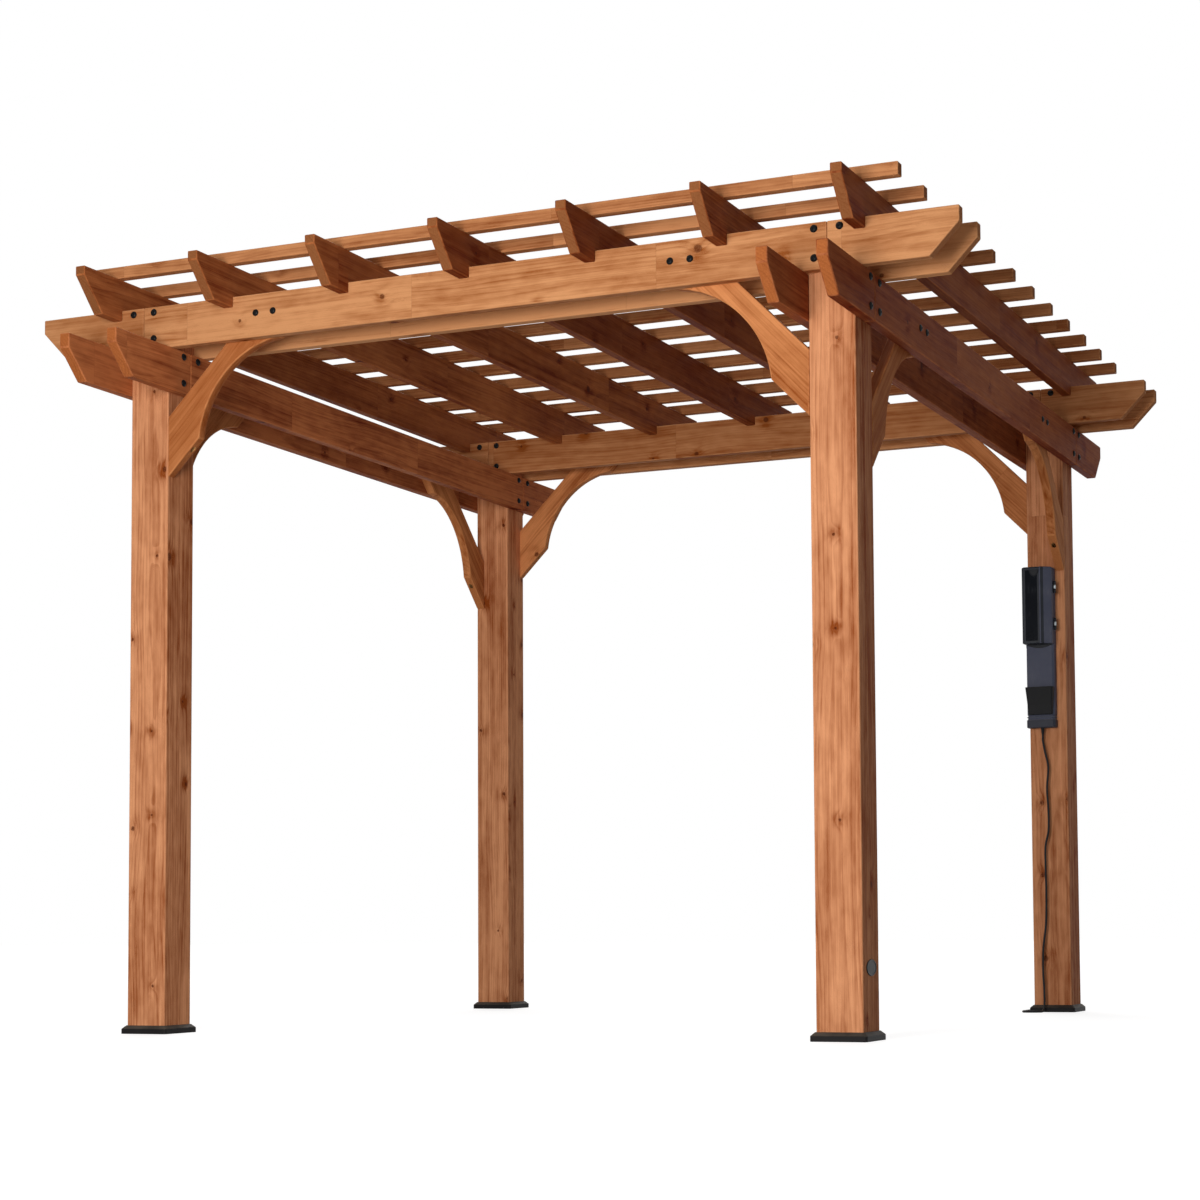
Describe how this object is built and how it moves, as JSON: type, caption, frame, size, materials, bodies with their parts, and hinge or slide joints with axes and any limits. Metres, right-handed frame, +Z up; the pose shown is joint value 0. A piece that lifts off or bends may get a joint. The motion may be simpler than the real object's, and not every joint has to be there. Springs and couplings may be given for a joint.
{
  "type": "wooden garden pergola",
  "caption": "Square wooden garden pergola on posts with paired beams, curved braces, notched rafters and top slats, with an outdoor outlet unit and cord on one post.",
  "frame": {"origin": "on the ground, at the middle of the pergola's outline", "axes": "+X to the right along the top beams, +Y to the back along the rafters, +Z up"},
  "size_m": [3.048, 3.048, 2.407],
  "materials": {
    "post_wood": "satin",
    "beam_wood": "satin",
    "brace_wood": "satin",
    "rafter_wood": "satin",
    "slat_wood": "satin",
    "foot_cover": "matte",
    "unit_plastic": "matte",
    "socket_plastic": "satin",
    "cover_plastic": "satin",
    "tray_plastic": "matte",
    "plate_plastic": "matte",
    "cord_rubber": "matte"
  },
  "bodies": {
    "frame": {"post_front_left": "post_wood", "post_front_right": "post_wood", "post_back_left": "post_wood", "post_back_right": "post_wood", "foot_front_left": "foot_cover", "foot_front_right": "foot_cover", "foot_back_left": "foot_cover", "foot_back_right": "foot_cover", "side_beam_left_outer": "beam_wood", "side_beam_left_inner": "beam_wood", "side_beam_right_inner": "beam_wood", "side_beam_right_outer": "beam_wood", "top_beam_front_outer": "beam_wood", "top_beam_front_inner": "beam_wood", "top_beam_back_inner": "beam_wood", "top_beam_back_outer": "beam_wood", "brace_front_left_x": "brace_wood", "brace_front_left_y": "brace_wood", "brace_front_right_x": "brace_wood", "brace_front_right_y": "brace_wood", "brace_back_left_x": "brace_wood", "brace_back_left_y": "brace_wood", "brace_back_right_x": "brace_wood", "brace_back_right_y": "brace_wood", "rafter_1": "rafter_wood", "rafter_2": "rafter_wood", "rafter_3": "rafter_wood", "rafter_4": "rafter_wood", "rafter_5": "rafter_wood", "rafter_6": "rafter_wood", "rafter_7": "rafter_wood", "slats_front": "slat_wood", "slats_middle": "slat_wood", "slats_back": "slat_wood", "outlet_housing": "unit_plastic", "outlet_sockets": "socket_plastic", "phone_tray": "tray_plastic", "oval_plate": "plate_plastic", "cord_gland": "cord_rubber", "cord": "cord_rubber", "cord_coil": "cord_rubber", "cord_tail": "cord_rubber", "plug": "cord_rubber"},
    "cover": {"outlet_cover": "cover_plastic"}
  },
  "joints": [
    {"name": "cover_hinge", "type": "hinge", "parent": "frame", "child": "cover", "pos_m": [1.1818, 1.036, 1.4735], "axis": [0, 0, 1], "range_deg": [0, 120]}
  ]
}
